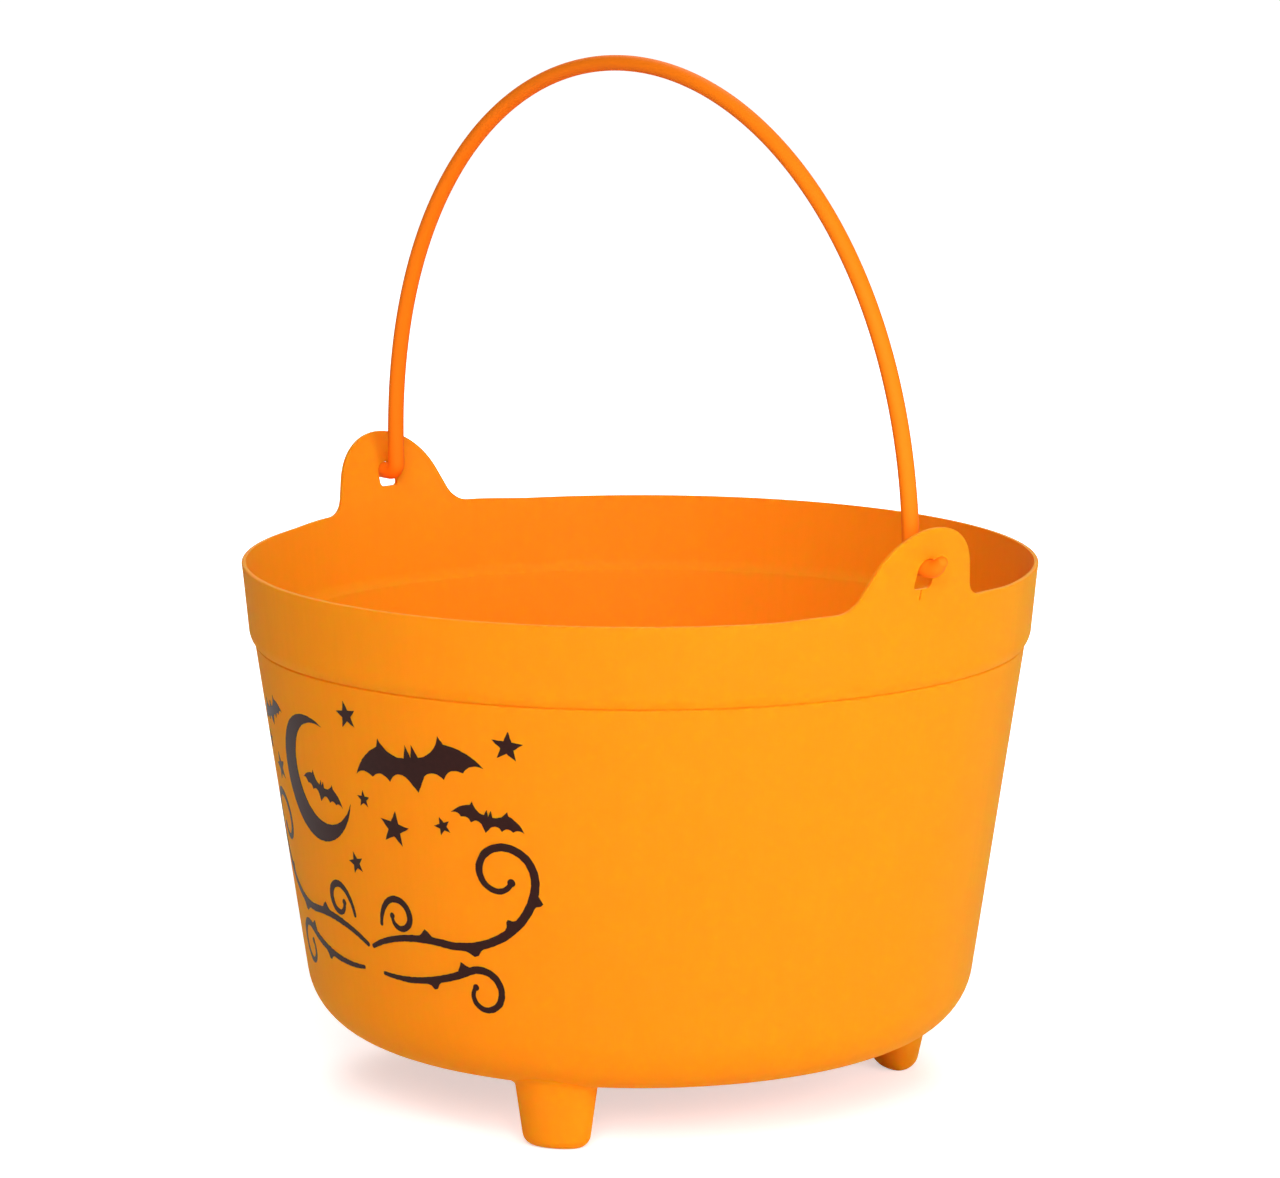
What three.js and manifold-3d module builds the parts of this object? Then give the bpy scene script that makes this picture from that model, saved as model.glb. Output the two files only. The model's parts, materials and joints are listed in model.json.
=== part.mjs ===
// Witch cauldron: a moulded plastic treat bucket in the shape of a cauldron.
// One thin-walled moulding carries a step collar, two ears and three hollow feet,
// and a bent plastic rod hangs in the ears as a swinging bail.
// Millimetres, +Z up. The origin lies on the bucket's axis, on the surface that the feet stand on,
// and the ears lie on the X axis.
import * as THREE from 'three';
import { mergeVertices } from 'three/addons/utils/BufferGeometryUtils.js';
import Module from 'manifold-3d';

const wasm = await Module();
wasm.setup();

const degrees = THREE.MathUtils.degToRad;

// Wall of the moulding
const WALL = 1.3;

// Rim and collar
const RIM_RADIUS = 115;
const RIM_Z = 155.6;
const COLLAR_HEIGHT = 21.4;
const COLLAR_DRAFT = degrees(5.3);

// Step under the collar, where stacked buckets rest on each other
const STEP_DEPTH = 1.5;
const STEP_HEIGHT = 1.9;
const STEP_ROUND = 7;

// Belly and base
const BELLY_DRAFT = degrees(8.4);
const FLOOR_Z = 18.5;
const BASE_FILLET = 20.2;

// Recess round the moulding gate, in the middle of the floor
const GATE_RADIUS = 8;
const GATE_DEPTH = 0.6;

// Feet: oval stubs, wider across than they are deep, two beside the +X ear and one under the -X ear
const FOOT_CIRCLE = 76.9;
const FOOT_SPREAD = degrees(59);
const FOOT_WIDTH = 18.9;
const FOOT_DEPTH = 11.8;
const FOOT_SIDE_DRAFT = degrees(7.5);
const FOOT_FACE_DRAFT = degrees(13);
const FOOT_EDGE = 3.5;

// Ears, which stand on the rim and lean out
const EAR_HEIGHT = 23.4;
const EAR_RADIUS = 19.8;
const EAR_FLARE = degrees(22);
const EAR_FILLET = 7;
const EAR_LEAN = degrees(18.9);
const EAR_ROOT = 1.3;

// The rim climbs a little on its way to an ear
const RIM_RISE = 0.8;
const RIM_RISE_REACH = 48;

// Bail rod and its hooked ends
const ROD_DIAMETER = 5;
const HINGE_HEIGHT = 11.8;
const ARCH_HEIGHT = 130.9;
const ARCH_FULLNESS = 0.93;
const BAIL_LEAN = degrees(1.8);
const BEND_RADIUS = 3.2;
const HOOK_REACH = 1.5;
const HOOK_RADIUS = 4;
const HOOK_TURN = degrees(40);
const HOOK_TIP = 2;

// Clearances of the rod in the ears
const BAIL_EAR_GAP = 3.3;
const HOLE_TOP_CLEARANCE = 0.35;
const HOLE_SIDE_CLEARANCE = 0.8;
const HOLE_SLACK = 2.2;
const HOLE_CORNER = 1.4;

// Facets
const BODY_SEGMENTS = 96;
const FOOT_SEGMENTS = 32;
const FILLET_STEPS = 9;
const EDGE_STEPS = 4;
const STEP_ROUND_STEPS = 3;
const OUTLINE_STEPS = 24;
const ROD_SIDES = 16;
const ARCH_STEPS = 64;
const BEND_STEPS = 7;
const TIP_RINGS = 5;

// Lengths that cutting tools run past the part
const OVERRUN = 10;

const rodRadius = ROD_DIAMETER / 2;
const hingeZ = RIM_Z + HINGE_HEIGHT;
const earTopZ = RIM_Z + EAR_HEIGHT;

// Straight line of the wall's section, leaning out from +Z by an angle, through a radius and height.
// It is kept as its outward normal and its distance, so that an inset moves it into the wall.
function wallLine(angle, radius, z) {
  const normal = new THREE.Vector2(Math.cos(angle), -Math.sin(angle));
  return { normal, distance: normal.x * radius + normal.y * z };
}

function meet(first, second, inset) {
  const a = first.normal;
  const b = second.normal;
  const p = first.distance - inset;
  const q = second.distance - inset;
  const area = a.x * b.y - a.y * b.x;
  return new THREE.Vector2((p * b.y - q * a.y) / area, (a.x * q - b.x * p) / area);
}

const collarFootZ = RIM_Z - COLLAR_HEIGHT;
const collarFootRadius = RIM_RADIUS - COLLAR_HEIGHT * Math.tan(COLLAR_DRAFT);
const bellyTopZ = collarFootZ - STEP_HEIGHT;
const bellyTopRadius = collarFootRadius - STEP_DEPTH;
const stepAngle = Math.atan2(STEP_DEPTH, STEP_HEIGHT);
const earRootZ = RIM_Z + EAR_ROOT;
const earRootRadius = RIM_RADIUS + EAR_ROOT * Math.tan(COLLAR_DRAFT);

const floorLine = wallLine(Math.PI / 2, 0, FLOOR_Z);
const bellyLine = wallLine(BELLY_DRAFT, bellyTopRadius, bellyTopZ);
const stepLine = wallLine(stepAngle, bellyTopRadius, bellyTopZ);
const collarLine = wallLine(COLLAR_DRAFT, RIM_RADIUS, RIM_Z);
const earLine = wallLine(EAR_LEAN, earRootRadius, earRootZ);

function earRadiusAt(z, inset) {
  return meet(earLine, wallLine(Math.PI / 2, 0, z + inset), inset).x;
}

// Points of an arc in a section, from one angle to another
function arcPoints(centre, radius, from, to, steps) {
  return Array.from({ length: steps + 1 }, (_, i) => {
    const angle = from + (to - from) * i / steps;
    return new THREE.Vector2(centre.x + radius * Math.cos(angle), centre.y + radius * Math.sin(angle));
  });
}

// Section of the bucket from its axis to above the ears, moved into the wall by the inset
function bucketSection(inset, topZ) {
  const floorZ = FLOOR_Z + inset;
  const filletCentre = meet(floorLine, bellyLine, BASE_FILLET);
  const stepCentre = meet(stepLine, collarLine, STEP_ROUND);
  return [
    new THREE.Vector2(0, floorZ + GATE_DEPTH),
    new THREE.Vector2(GATE_RADIUS, floorZ + GATE_DEPTH),
    new THREE.Vector2(GATE_RADIUS + GATE_DEPTH, floorZ),
    ...arcPoints(filletCentre, BASE_FILLET - inset, -Math.PI / 2, -BELLY_DRAFT, FILLET_STEPS),
    meet(bellyLine, stepLine, inset),
    ...arcPoints(stepCentre, STEP_ROUND - inset, -stepAngle, -COLLAR_DRAFT, STEP_ROUND_STEPS),
    meet(collarLine, earLine, inset),
    new THREE.Vector2(earRadiusAt(topZ, inset), topZ),
    new THREE.Vector2(0, topZ),
  ];
}

// Half of a foot's width or depth at a height, moved into the wall by the inset
function footHalf(size, draft, z, inset) {
  const rise = Math.max(0, FOOT_EDGE - z);
  const edge = Math.sqrt(Math.max(0, (FOOT_EDGE - inset) ** 2 - rise ** 2));
  return size / 2 + z * Math.tan(draft) - FOOT_EDGE + edge;
}

// Closed geometry with merged vertices and no flat triangles, as a solid
function solidOf(geometry) {
  geometry.deleteAttribute('normal');
  geometry.deleteAttribute('uv');
  const merged = mergeVertices(geometry);
  const triangles = [];
  for (let i = 0; i < merged.index.count; i += 3) {
    const [a, b, c] = [0, 1, 2].map((k) => merged.index.getX(i + k));
    if (a !== b && b !== c && c !== a) triangles.push(a, b, c);
  }
  return new wasm.Manifold(new wasm.Mesh({
    numProp: 3,
    vertProperties: new Float32Array(merged.attributes.position.array),
    triVerts: new Uint32Array(triangles),
  }));
}

function geometryOf(solid) {
  const mesh = solid.getMesh();
  const geometry = new THREE.BufferGeometry();
  geometry.setAttribute('position', new THREE.BufferAttribute(new Float32Array(mesh.vertProperties), 3));
  geometry.setIndex(new THREE.BufferAttribute(new Uint32Array(mesh.triVerts), 1));
  geometry.computeVertexNormals();
  return geometry;
}

// Solid of revolution about +Z
function turned(section, segments) {
  return solidOf(new THREE.LatheGeometry(section, segments).rotateX(Math.PI / 2));
}

// Solid prism along X through the whole bucket, from an outline in Y and Z
function prismAlongX(outline) {
  const length = 2 * (RIM_RADIUS + EAR_HEIGHT);
  const geometry = new THREE.ExtrudeGeometry(outline, {
    depth: length,
    bevelEnabled: false,
    curveSegments: OUTLINE_STEPS / 2,
  });
  const axes = new THREE.Matrix4().makeBasis(
    new THREE.Vector3(0, 1, 0),
    new THREE.Vector3(0, 0, 1),
    new THREE.Vector3(1, 0, 0),
  );
  return solidOf(geometry.translate(0, 0, -length / 2).applyMatrix4(axes));
}

// Outline of everything that stays: the bucket below its rim, with the ear standing on the rim
function rimOutline() {
  const side = RIM_RADIUS + OVERRUN;
  const centreZ = earTopZ - EAR_RADIUS;
  const rimAtEarZ = RIM_Z + RIM_RISE;
  const flankTop = EAR_RADIUS * Math.cos(EAR_FLARE);
  const flankTopZ = centreZ + EAR_RADIUS * Math.sin(EAR_FLARE);
  const cornerY = flankTop + (flankTopZ - rimAtEarZ) * Math.tan(EAR_FLARE);
  const filletY = cornerY + EAR_FILLET * Math.tan((Math.PI / 2 - EAR_FLARE) / 2);
  const filletZ = rimAtEarZ + EAR_FILLET;
  const middleY = (filletY + RIM_RISE_REACH) / 2;
  const outline = new THREE.Shape();
  outline.moveTo(-side, -OVERRUN);
  outline.lineTo(side, -OVERRUN);
  outline.lineTo(side, RIM_Z);
  outline.lineTo(RIM_RISE_REACH, RIM_Z);
  outline.quadraticCurveTo(middleY, rimAtEarZ, filletY, rimAtEarZ);
  outline.absarc(filletY, filletZ, EAR_FILLET, -Math.PI / 2, EAR_FLARE - Math.PI, true);
  outline.absarc(0, centreZ, EAR_RADIUS, EAR_FLARE, Math.PI - EAR_FLARE, false);
  outline.absarc(-filletY, filletZ, EAR_FILLET, -EAR_FLARE, -Math.PI / 2, true);
  outline.quadraticCurveTo(-middleY, rimAtEarZ, -RIM_RISE_REACH, RIM_Z);
  outline.lineTo(-side, RIM_Z);
  return outline;
}

// Outline of an ear's hole: round over the rod, with slack and a flat sill below it
function holeOutline() {
  const half = rodRadius + HOLE_SIDE_CLEARANCE;
  const crownZ = hingeZ + rodRadius + HOLE_TOP_CLEARANCE - half;
  const sillZ = hingeZ - rodRadius - HOLE_SLACK;
  const outline = new THREE.Shape();
  outline.absarc(0, crownZ, half, 0, Math.PI, false);
  outline.absarc(HOLE_CORNER - half, sillZ + HOLE_CORNER, HOLE_CORNER, -Math.PI, -Math.PI / 2, false);
  outline.absarc(half - HOLE_CORNER, sillZ + HOLE_CORNER, HOLE_CORNER, -Math.PI / 2, 0, false);
  return outline;
}

// Foot on its own axis with +X pointing away from the bucket's axis: a turned stub of radius 1,
// drawn out at each height to the oval there
function foot(inset, topZ) {
  const edge = arcPoints(new THREE.Vector2(0, FOOT_EDGE), FOOT_EDGE - inset, -Math.PI / 2, 0, EDGE_STEPS);
  const heights = [...edge.map((point) => point.y), topZ];
  const section = [
    new THREE.Vector2(0, inset),
    ...heights.map((z) => new THREE.Vector2(1, z)),
    new THREE.Vector2(0, topZ),
  ];
  const geometry = new THREE.LatheGeometry(section, FOOT_SEGMENTS).rotateX(Math.PI / 2);
  const position = geometry.attributes.position;
  for (let i = 0; i < position.count; i += 1) {
    const z = position.getZ(i);
    position.setX(i, position.getX(i) * footHalf(FOOT_DEPTH, FOOT_FACE_DRAFT, z, inset));
    position.setY(i, position.getY(i) * footHalf(FOOT_WIDTH, FOOT_SIDE_DRAFT, z, inset));
  }
  return geometry;
}

// The three feet, or the wells inside them when the inset is the wall
function feet(inset, topZ) {
  return [-FOOT_SPREAD, FOOT_SPREAD, Math.PI]
    .map((angle) => solidOf(foot(inset, topZ).translate(FOOT_CIRCLE, 0, 0).rotateZ(angle)))
    .reduce((all, next) => all.add(next));
}

// Moulded bucket: outer form and feet, less the hollow and the wells, cut to the rim and ears, with bored ears
function bucketGeometry() {
  const sectionTopZ = earTopZ + OVERRUN;
  const footTopZ = FLOOR_Z + BASE_FILLET / 2;
  const outside = turned(bucketSection(0, sectionTopZ), BODY_SEGMENTS).add(feet(0, footTopZ));
  const inside = turned(bucketSection(WALL, sectionTopZ + OVERRUN), BODY_SEGMENTS).add(feet(WALL, footTopZ + WALL));
  const trimmed = outside.subtract(inside).intersect(prismAlongX(rimOutline()));
  return geometryOf(trimmed.subtract(prismAlongX(holeOutline())));
}

// Half of an ellipse over the bucket, a little fuller at its shoulders, from the -X leg to the +X leg
class ArchCurve extends THREE.Curve {
  constructor(halfSpan, baseZ, height) {
    super();
    Object.assign(this, { halfSpan, baseZ, height });
  }

  getPoint(t, target = new THREE.Vector2()) {
    const angle = Math.PI * (1 - t);
    const climb = Math.max(0, Math.sin(angle)) ** ARCH_FULLNESS;
    return target.set(this.halfSpan * Math.cos(angle), this.baseZ + this.height * climb);
  }
}

// Path in the XZ plane through a row of curves, each with its own number of steps
class SteppedPath extends THREE.Curve {
  constructor(runs) {
    super();
    this.runs = runs;
    this.steps = runs.reduce((sum, run) => sum + run.steps, 0);
  }

  getPoint(t, target = new THREE.Vector3()) {
    let step = t * this.steps;
    let index = 0;
    while (index < this.runs.length - 1 && step > this.runs[index].steps) {
      step -= this.runs[index].steps;
      index += 1;
    }
    const run = this.runs[index];
    const point = run.curve.getPoint(Math.min(1, step / run.steps));
    return target.set(point.x, 0, point.y);
  }

  getPointAt(u, target) {
    return this.getPoint(u, target);
  }

  getTangentAt(u, target) {
    return this.getTangent(u, target);
  }
}

// Hooked end of the rod: down the inside of the ear, out through its hole, then up at the tip
function hookRuns(side, halfSpan) {
  const bendX = halfSpan + BEND_RADIUS;
  const turnX = earRadiusAt(hingeZ, 0) + HOOK_REACH;
  const endX = turnX + HOOK_RADIUS * Math.sin(HOOK_TURN);
  const endZ = HOOK_RADIUS * (1 - Math.cos(HOOK_TURN));
  const tip = new THREE.Vector2(endX + HOOK_TIP * Math.cos(HOOK_TURN), endZ + HOOK_TIP * Math.sin(HOOK_TURN));
  const place = (x, z) => new THREE.Vector2(side * x, z);
  const bend = (x, z, radius, from, to) => {
    const start = side > 0 ? from : Math.PI - from;
    const end = side > 0 ? to : Math.PI - to;
    return new THREE.EllipseCurve(side * x, z, radius, radius, start, end, side < 0);
  };
  const runs = [
    { curve: bend(bendX, BEND_RADIUS, BEND_RADIUS, Math.PI, Math.PI * 1.5), steps: BEND_STEPS },
    { curve: new THREE.LineCurve(place(bendX, 0), place(turnX, 0)), steps: 1 },
    { curve: bend(turnX, HOOK_RADIUS, HOOK_RADIUS, -Math.PI / 2, HOOK_TURN - Math.PI / 2), steps: BEND_STEPS },
    { curve: new THREE.LineCurve(place(endX, endZ), place(tip.x, tip.y)), steps: 1 },
  ];
  return { runs, tip: place(tip.x, tip.y) };
}

// The same runs walked the other way
function reversed(runs) {
  return runs.map(({ curve, steps }) => {
    const back = new THREE.Curve();
    back.getPoint = (t) => curve.getPoint(1 - t);
    return { curve: back, steps };
  }).reverse();
}

// Bail: one round rod along its path, with a rounded tip at each end, about the hinge axis
function bailGeometry() {
  const halfSpan = earRadiusAt(hingeZ, WALL) - BAIL_EAR_GAP - rodRadius;
  const left = hookRuns(-1, halfSpan);
  const right = hookRuns(1, halfSpan);
  const arch = new ArchCurve(halfSpan, BEND_RADIUS, ARCH_HEIGHT - BEND_RADIUS);
  const path = new SteppedPath([...reversed(left.runs), { curve: arch, steps: ARCH_STEPS }, ...right.runs]);
  const section = new THREE.Shape().absarc(0, 0, rodRadius, 0, 2 * Math.PI, false);
  const rod = solidOf(new THREE.ExtrudeGeometry(section, {
    steps: path.steps,
    extrudePath: path,
    bevelEnabled: false,
    curveSegments: ROD_SIDES / 2,
  }));
  const tipRadius = rodRadius * Math.cos(Math.PI / ROD_SIDES);
  const tips = [left.tip, right.tip].map((tip) => solidOf(
    new THREE.SphereGeometry(tipRadius, ROD_SIDES, 2 * TIP_RINGS).translate(tip.x, 0, tip.y),
  ));
  return geometryOf(tips.reduce((all, next) => all.add(next), rod));
}

function orangePlastic(color) {
  return new THREE.MeshStandardMaterial({ color, roughness: 0.42, metalness: 0 });
}

const bucket = new THREE.Mesh(bucketGeometry(), orangePlastic(0xf3911a));
bucket.name = 'cauldron_bucket';

const bail = new THREE.Mesh(bailGeometry(), orangePlastic(0xf08519));
bail.name = 'bail_handle';
bail.position.z = hingeZ;
bail.rotation.x = BAIL_LEAN;

const cauldron = new THREE.Group();
cauldron.name = 'witch_cauldron';
cauldron.add(bucket, bail);

export default cauldron;
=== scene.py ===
"""Looks of a witch cauldron, a moulded plastic treat bucket with a swinging bail, in a plain studio."""
import json
import math

import bmesh
import bpy
from bpy.props import FloatProperty, FloatVectorProperty, IntProperty, PointerProperty
from mathutils import Matrix, Vector, noise


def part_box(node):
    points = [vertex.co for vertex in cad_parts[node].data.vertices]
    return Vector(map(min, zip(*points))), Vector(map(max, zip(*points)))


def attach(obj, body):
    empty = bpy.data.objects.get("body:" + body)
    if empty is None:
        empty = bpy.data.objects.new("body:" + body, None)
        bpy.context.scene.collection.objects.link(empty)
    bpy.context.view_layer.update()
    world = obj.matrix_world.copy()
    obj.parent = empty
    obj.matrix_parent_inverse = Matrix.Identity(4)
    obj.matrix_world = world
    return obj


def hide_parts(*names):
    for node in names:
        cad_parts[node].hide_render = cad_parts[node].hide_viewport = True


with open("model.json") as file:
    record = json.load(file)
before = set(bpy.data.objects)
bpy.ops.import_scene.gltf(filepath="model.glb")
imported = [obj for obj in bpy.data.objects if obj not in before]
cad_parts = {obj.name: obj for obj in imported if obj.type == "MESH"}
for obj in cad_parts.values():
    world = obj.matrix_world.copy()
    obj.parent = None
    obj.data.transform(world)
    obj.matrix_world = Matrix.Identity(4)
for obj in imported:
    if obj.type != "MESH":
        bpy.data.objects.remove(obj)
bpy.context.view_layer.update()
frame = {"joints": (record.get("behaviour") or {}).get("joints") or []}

bl_info = {
    "name": "Witch Cauldron",
    "version": (1, 0, 0),
    "blender": (4, 5, 0),
    "location": "3D View > Sidebar > Cauldron",
    "description": "Models and finishes a moulded treat bucket shaped like a cauldron",
    "category": "Add Mesh",
}

MM = 0.001
UP = math.pi / 2
BUCKET_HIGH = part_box("cauldron_bucket")[1]
SWING = next(joint for joint in frame["joints"] if joint["name"] == "bail_swing")
HINGE = Vector(SWING["pos_m"])

# Points closer than this are one: in general, along the rim's two edges, and in height alone
WELD = 0.002 * MM
RIM_WELD = 0.003 * MM
SAME_HEIGHT = 0.0001 * MM

# Height over the collar's foot from which the wall stretches up to the rim's edge
STRETCH_START = 7 * MM

# Crease under the collar: its shares below and above the corner, and a row on its lower side
CREASE_BELOW = 0.7
CREASE_ABOVE = 0.3
CREASE_ROW = 0.8

# Rows of faces in the wall, from the floor up to the rim's edges
FLOOR_ROWS = 10
BASE_ROWS = 16
BELLY_ROWS = 16
LEDGE_ROWS = 6
STEP_ROWS = 8
COLLAR_ROWS = 14
EDGE_ROWS = 4

# Steps along a quarter of the rim's edge
EAR_STEPS = 60
FILLET_STEPS = 30
RIM_STEPS = 60

# Rows of faces in the feet: round their edge, up their side, across their end, about their axis
FOOT_EDGE_ROWS = 10
FOOT_ROWS = 44
FOOT_CAP_ROWS = 6
FOOT_STEPS = 96

# How far a foot and its well run into the bucket, in walls, and the tries that fit them there
FOOT_END = 0.5
WELL_END = 2
FOOT_TRIES = 6

# Steps round an ear's hole. Its cutter starts at a share of the rim's radius and is a part of that long.
CROWN_STEPS = 24
CORNER_STEPS = 8
CUTTER_START = 0.9
CUTTER_PART = 3

# Flow line that the plastic left under the hole of the +X ear
WELD_LINE_DEPTH = 1.5 * MM
WELD_LINE_WIDTH = 0.5 * MM
WELD_LINE_LENGTH = 3.2 * MM

# Edges sharper than this stay crisp, in degrees
CRISP = 32
ROD_CRISP = 50

# Steps along half of the bail, from its tip to the top of the arch
TIP_STEPS = 3
TURN_STEPS = 12
REACH_STEPS = 4
BEND_STEPS = 14
ARCH_STEPS = 90

# Faces round the rod, rows in its domed tips, and the share of its radius that the last row keeps
ROD_SIDES = 32
DOME_ROWS = 8
DOME_END = 0.02

# In radii of the rod, how far its tips' taper reaches and the height where it is fully flat
TIP_TAPER_REACH = 2.5
FLAT_REACH = 8

# The print, in millimetres about its middle: place, turn in degrees and size of the moon, bats and stars
MOON = ((-19, 15), 24, 18.5)
BATS = (((25, 25), 9, 22), ((-15, 12), -16, 10.5), ((47, 12), -12, 11), ((-47, 29), 14, 11.5))
STARS = (((2, 37), 8, 4.2), ((54, 34), -6, 4.6), ((16, 6), -10, 5.4), ((-46, 13), 12, 4.4),
         ((33, 9), 20, 2.8), ((5, 13), 0, 2.6), ((-57, 19), 10, 2.8), ((-2, -7), 14, 3.4))

# Vines of the right half: start, heading in degrees, runs, share of the full width, and thorns
VINES = (((1.3, -31), 28, ((-34, 40, 60), (96, 34, 15), (330, 10, 3.6)), 1.0,
          ((0.22, 1), (0.34, -1), (0.46, 1), (0.57, -1))),
         ((5, -38.5), -6, ((30, 60, 70), (-330, 7.4, 3)), 0.85, ((0.32, -1), (0.5, 1))),
         ((6.2, -23.5), 84, ((-40, 12, 10), (-310, 5.6, 2.6)), 0.8, ()))

# A vine's half width and its swell, as shares of its width, and the part of a half wave that swells it
VINE_HALF = 0.22
VINE_SWELL = 0.28
VINE_WAVE_START = 0.06
VINE_WAVE = 0.86

# Thorns, in millimetres and in steps of the vine, and the ball at its end as a share of the vine
THORN_HEIGHT = 2.3
THORN_HALF = 1.9
VINE_BALL = 1.55

# Steps in a vine's shortest run, its ball and its tip, and in the moon's outer and inner edge
RUN_STEPS = 4
BALL_STEPS = 16
VINE_TIP_STEPS = 8
MOON_STEPS = 60
HOLLOW_STEPS = 56

# Right half of a bat, from head to tail: each corner, and the bulge of the edge after it
BAT_HALF = (((0, 0.13), 0.0), ((0.05, 0.30), 0.0), ((0.11, 0.13), -0.12), ((0.42, 0.30), -0.05),
            ((0.47, 0.40), 0.0), ((0.52, 0.29), 0.09), ((1.0, -0.06), -0.20), ((0.71, -0.10), -0.24),
            ((0.42, -0.17), -0.24), ((0.14, -0.12), 0.0), ((0, -0.32), 0.0))

# Steps, waves and seed of the ink's uneven edge, the first two in millimetres
INK_GRAIN = 0.6
INK_WAVE = 2 * INK_GRAIN
INK_SEED = 1

# The ink's mottle, in millimetres and as its lighter tone, and the ink's sheen
MOTTLE_SIZE = 1.5
MOTTLE_TONE = 1.5
INK_SHEEN = 0.08

# How far light spreads in the plastic, and the shares of that for red, green and blue
SPREAD_REACH = 3 * MM
SPREAD = (1.0, 0.09, 0.03)

# Sheen of the two pieces, and how much of the light seeps into them: none into the thick rod
BUCKET_SHEEN = 0.06
BAIL_SHEEN = 0.08
BUCKET_SEEP = 1.0
BAIL_SEEP = 0.0

# Streaks that the flowing plastic left, fainter on the bail, and specks of dust in the mould
STREAK_WIDTH = 2.2 * MM
STREAK_LENGTH = 60 * MM
STREAK_HEIGHT = 0.04 * MM
BAIL_STREAK_HEIGHT = STREAK_HEIGHT / 10
STREAK_TONE = 0.94
SPECK_DISTANCE = 16 * MM
SPECK_RADIUS = 0.45 * MM
SPECK_HEIGHT = 2.0

# Camera: angles in degrees, lens and sensor in millimetres, and how far it sees
CAMERA_TARGET = Vector((0, 0, 146.0 * MM))
CAMERA_DISTANCE = 1539.6 * MM
CAMERA_AZIMUTH = 48.73
CAMERA_ELEVATION = 9.94
CAMERA_LENS = 149.4
CAMERA_SENSOR = 36
CAMERA_SIGHT = 20

# Square softboxes: azimuth from the front and elevation in degrees, and power in watts
SOFTBOXES = {"key_softbox": (49, 30, 26), "side_softbox": (90, 14, 15), "back_softbox": (229, 42, 15)}
SOFTBOX_DISTANCE = 1.8
SOFTBOX_SIZE = 0.9

# Light from the surroundings
SURROUND_LIGHT = 0.08

# The floor's half size, and its glow near and far off, from where to where
FLOOR_HALF = 6
GLOW_NEAR = 0.55
GLOW_FAR = 1.0
GLOW_START = 0.25
GLOW_END = 1.2


def linear(hex_colour):
    """sRGB hex colour as linear red, green and blue."""
    channels = [int(hex_colour[i:i + 2], 16) / 255 for i in (1, 3, 5)]
    return tuple(c / 12.92 if c <= 0.04045 else ((c + 0.055) / 1.055) ** 2.4 for c in channels)


def length(name, description, default, low=0.0001):
    """Property of a size in metres."""
    return FloatProperty(name=name, description=description, default=default, min=low, max=0.5,
                         unit="LENGTH", subtype="DISTANCE", precision=5)


def slope(name, description, default):
    """Property of an angle, given in degrees."""
    return FloatProperty(name=name, description=description, default=math.radians(default),
                         min=0.0, max=UP, unit="ROTATION", subtype="ANGLE")


def colour(name, description, default):
    """Property of a colour, given as sRGB hex."""
    return FloatVectorProperty(name=name, description=description, default=linear(default),
                               min=0.0, max=1.0, size=3, subtype="COLOR")


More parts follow.
